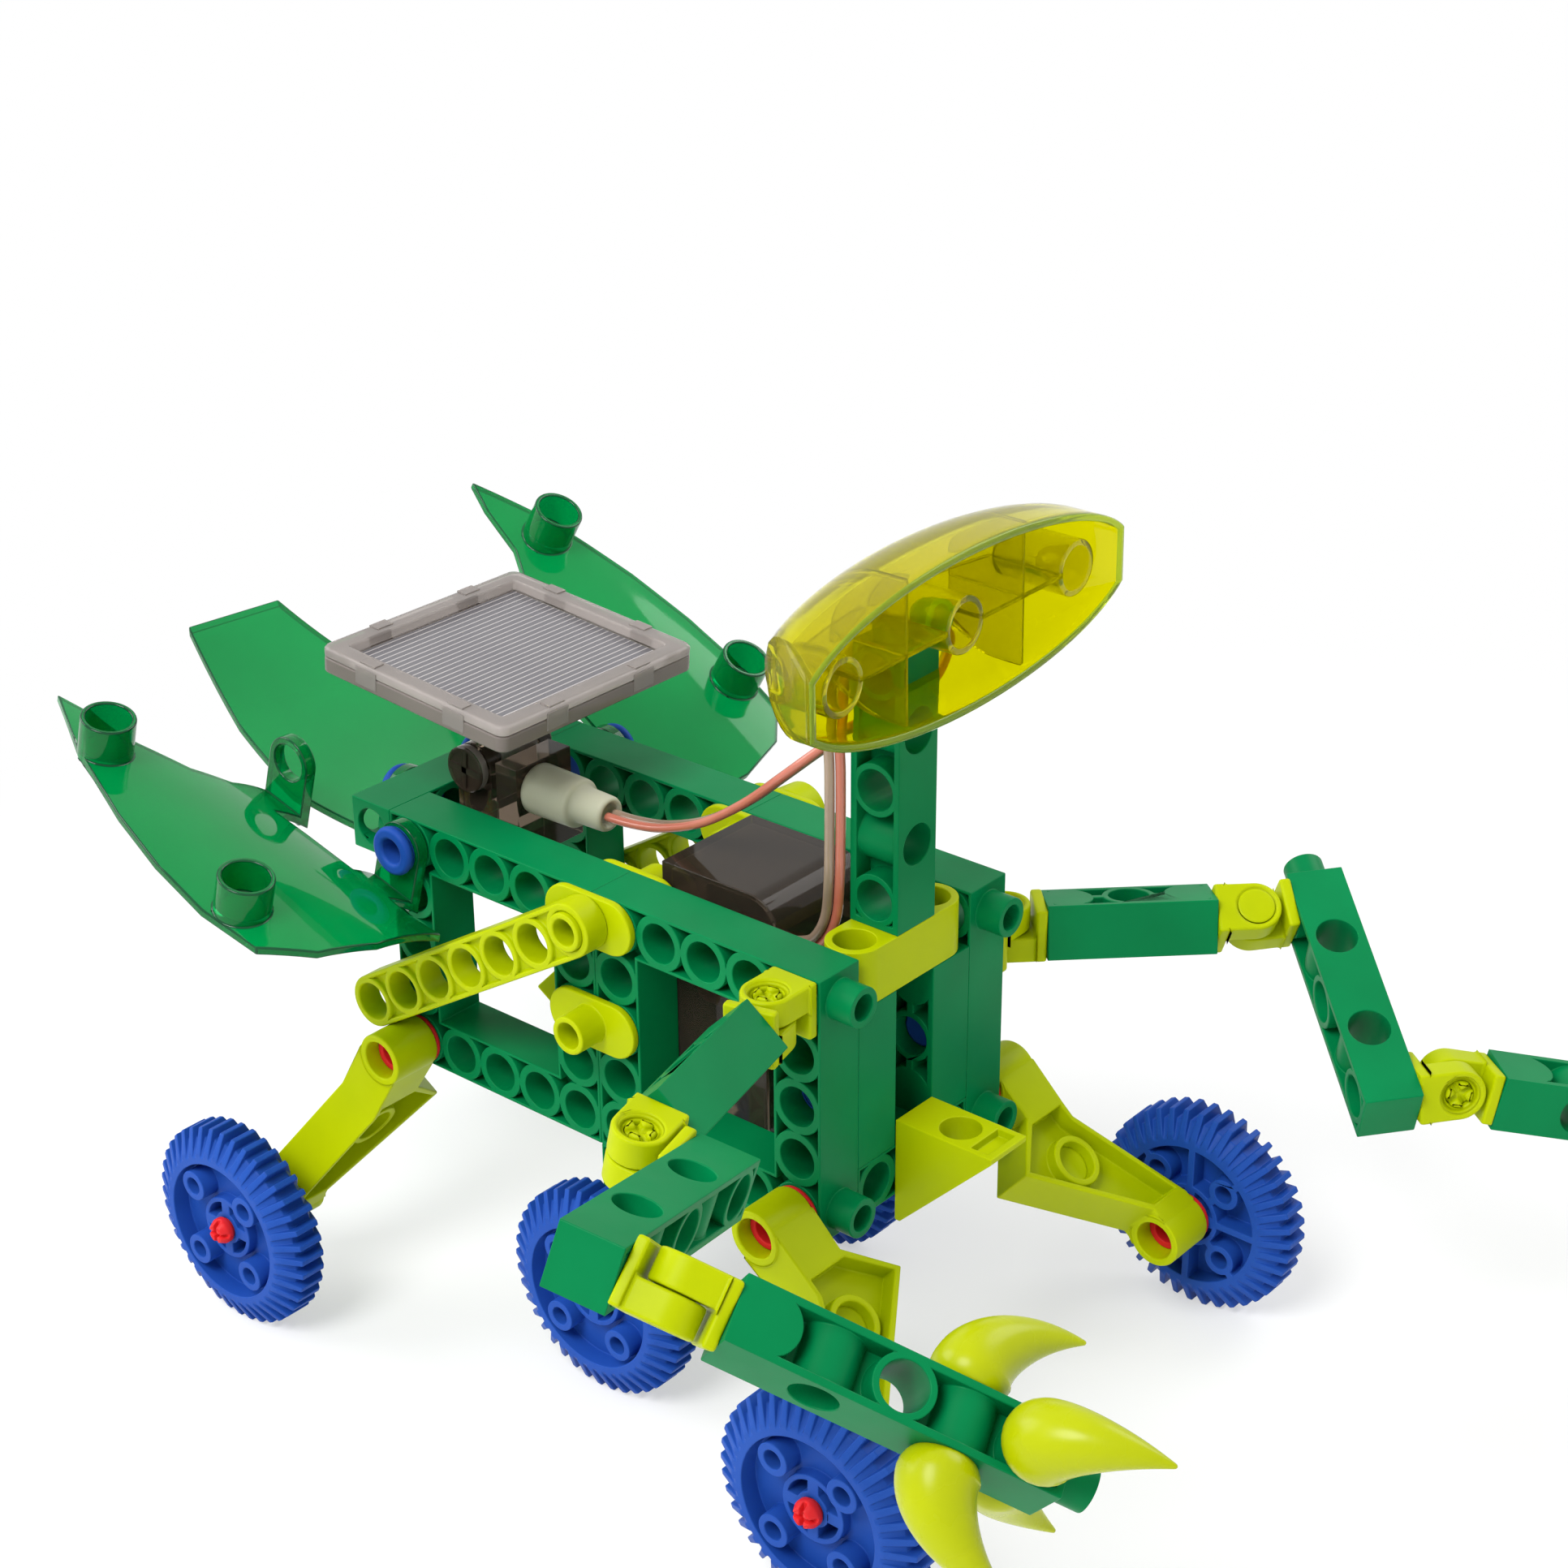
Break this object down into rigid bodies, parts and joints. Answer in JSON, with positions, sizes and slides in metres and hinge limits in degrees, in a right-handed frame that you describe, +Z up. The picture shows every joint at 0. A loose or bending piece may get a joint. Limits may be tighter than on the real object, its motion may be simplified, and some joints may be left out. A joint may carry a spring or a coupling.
{
  "type": "solar robot kit",
  "caption": "peg-and-hole toy rover with a tilting solar panel, jointed arms with claw hands, crank legs on gear wheels, a lens-shaped head and swinging wing panels",
  "frame": {"origin": "centre of the ends of the four hollow pegs on the front of the body", "axes": "+X forward along the floor, +Y to the robot's left, +Z up from the floor"},
  "size_m": [0.2894, 0.2241, 0.1615],
  "materials": {
    "green": "gloss",
    "lime": "gloss",
    "blue": "gloss",
    "red": "gloss",
    "clear_green": "translucent",
    "clear_lime": "translucent",
    "bright_green": "gloss",
    "smoke": "translucent",
    "orange": "gloss",
    "dark": "satin",
    "cell": "gloss",
    "clear": "clear",
    "offwhite": "satin",
    "wire": "gloss"
  },
  "bodies": {
    "chassis": {"frame_near_rear": "green", "frame_near_front": "green", "frame_far_rear": "green", "frame_far_front": "green", "rear_beam": "green", "front_posts": "green", "centre_post": "green", "bottom_beam": "green", "neck": "green", "axle_posts": "green", "top_beam": "lime", "wedge": "lime", "tee_plates": "lime", "long_beams": "lime", "hinge_roots": "lime", "blue_pins": "blue", "hip_pins": "red", "tail": "clear_green", "head": "clear_lime", "head_peg": "bright_green", "motor_case": "smoke", "motor": "orange", "panel_base": "smoke", "plug": "offwhite", "cord": "wire"},
    "drive": {"drive_axle": "dark", "wheel_drive_near": "blue", "wheel_drive_far": "blue"},
    "near_front_leg": {"leg_near_front": "lime", "foot_pin_near_front": "red"},
    "near_front_wheel": {"wheel_near_front": "blue"},
    "near_rear_leg": {"leg_near_rear": "lime", "foot_pin_near_rear": "red"},
    "near_rear_wheel": {"wheel_near_rear": "blue"},
    "far_front_leg": {"leg_far_front": "lime", "foot_pin_far_front": "red"},
    "far_front_wheel": {"wheel_far_front": "blue"},
    "far_rear_leg": {"leg_far_rear": "lime", "foot_pin_far_rear": "red"},
    "far_rear_wheel": {"wheel_far_rear": "blue"},
    "near_upper": {"near_rod": "green", "near_rod_hinges": "lime"},
    "near_fore": {"near_beam": "green", "near_beam_hinges": "lime"},
    "near_grip": {"near_hand": "green", "near_hand_hinge": "lime", "near_claws": "lime"},
    "far_upper": {"far_rod": "green", "far_rod_hinges": "lime"},
    "far_fore": {"far_beam": "green", "far_beam_hinges": "lime"},
    "far_grip": {"far_hand": "green", "far_hand_hinge": "lime", "far_claws": "lime"},
    "near_wing": {"wing_near": "clear_green"},
    "far_wing": {"wing_far": "clear_green"},
    "panel": {"panel_tray": "smoke", "panel_cell": "cell", "panel_lid": "clear"}
  },
  "joints": [
    {"name": "drive_spin", "type": "hinge", "parent": "chassis", "child": "drive", "pos_m": [-0.05271, 0, -0.04713], "axis": [0, 1, 0], "continuous": true},
    {"name": "near_front_hip", "type": "hinge", "parent": "chassis", "child": "near_front_leg", "pos_m": [-0.0111, -0.031, -0.01941], "axis": [0, 1, 0], "range_deg": [-10, 10]},
    {"name": "near_front_spin", "type": "hinge", "parent": "near_front_leg", "child": "near_front_wheel", "pos_m": [0.01774, -0.0543, -0.04713], "axis": [0, 1, 0], "continuous": true},
    {"name": "near_rear_hip", "type": "hinge", "parent": "chassis", "child": "near_rear_leg", "pos_m": [-0.10096, -0.031, -0.01439], "axis": [0, 1, 0], "range_deg": [-10, 10]},
    {"name": "near_rear_spin", "type": "hinge", "parent": "near_rear_leg", "child": "near_rear_wheel", "pos_m": [-0.12393, -0.0543, -0.04713], "axis": [0, 1, 0], "continuous": true},
    {"name": "far_front_hip", "type": "hinge", "parent": "chassis", "child": "far_front_leg", "pos_m": [-0.0111, 0.031, -0.01941], "axis": [0, 1, 0], "range_deg": [-10, 10]},
    {"name": "far_front_spin", "type": "hinge", "parent": "far_front_leg", "child": "far_front_wheel", "pos_m": [0.01774, 0.0543, -0.04713], "axis": [0, 1, 0], "continuous": true},
    {"name": "far_rear_hip", "type": "hinge", "parent": "chassis", "child": "far_rear_leg", "pos_m": [-0.10096, 0.031, -0.01439], "axis": [0, 1, 0], "range_deg": [-10, 10]},
    {"name": "far_rear_spin", "type": "hinge", "parent": "far_rear_leg", "child": "far_rear_wheel", "pos_m": [-0.12393, 0.0543, -0.04713], "axis": [0, 1, 0], "continuous": true},
    {"name": "near_shoulder", "type": "hinge", "parent": "chassis", "child": "near_upper", "pos_m": [-0.00887, -0.032, 0.02053], "axis": [0.0558, 0, 0.9984], "range_deg": [-25, 25]},
    {"name": "near_elbow", "type": "hinge", "parent": "near_upper", "child": "near_fore", "pos_m": [0.00206, -0.07462, 0.01992], "axis": [0.2491, 0.05, 0.9672], "range_deg": [-45, 0]},
    {"name": "near_wrist", "type": "hinge", "parent": "near_fore", "child": "near_grip", "pos_m": [0.03754, -0.10448, 0.02496], "axis": [0.0021, -0.7011, -0.713], "range_deg": [-35, 35]},
    {"name": "far_shoulder", "type": "hinge", "parent": "chassis", "child": "far_upper", "pos_m": [-0.00943, 0.032, 0.01054], "axis": [0.0558, 0, 0.9984], "range_deg": [-20, 20]},
    {"name": "far_elbow", "type": "hinge", "parent": "far_upper", "child": "far_fore", "pos_m": [0.02212, 0.06262, 0.00878], "axis": [0.4709, -0.4411, 0.764], "range_deg": [-30, 30]},
    {"name": "far_wrist", "type": "hinge", "parent": "far_fore", "child": "far_grip", "pos_m": [0.06515, 0.05651, -0.00816], "axis": [-0.741, 0.6692, -0.0563], "range_deg": [-35, 35]},
    {"name": "near_wing_swing", "type": "hinge", "parent": "chassis", "child": "near_wing", "pos_m": [-0.09873, -0.0265, 0.02555], "axis": [0, 1, 0], "range_deg": [-12, 10]},
    {"name": "far_wing_swing", "type": "hinge", "parent": "chassis", "child": "far_wing", "pos_m": [-0.09873, 0.0265, 0.02555], "axis": [0, 1, 0], "range_deg": [-25, 0]},
    {"name": "panel_tilt", "type": "hinge", "parent": "chassis", "child": "panel", "pos_m": [-0.09872, 0, 0.03456], "axis": [0, 1, 0], "range_deg": [-20, 20]}
  ]
}
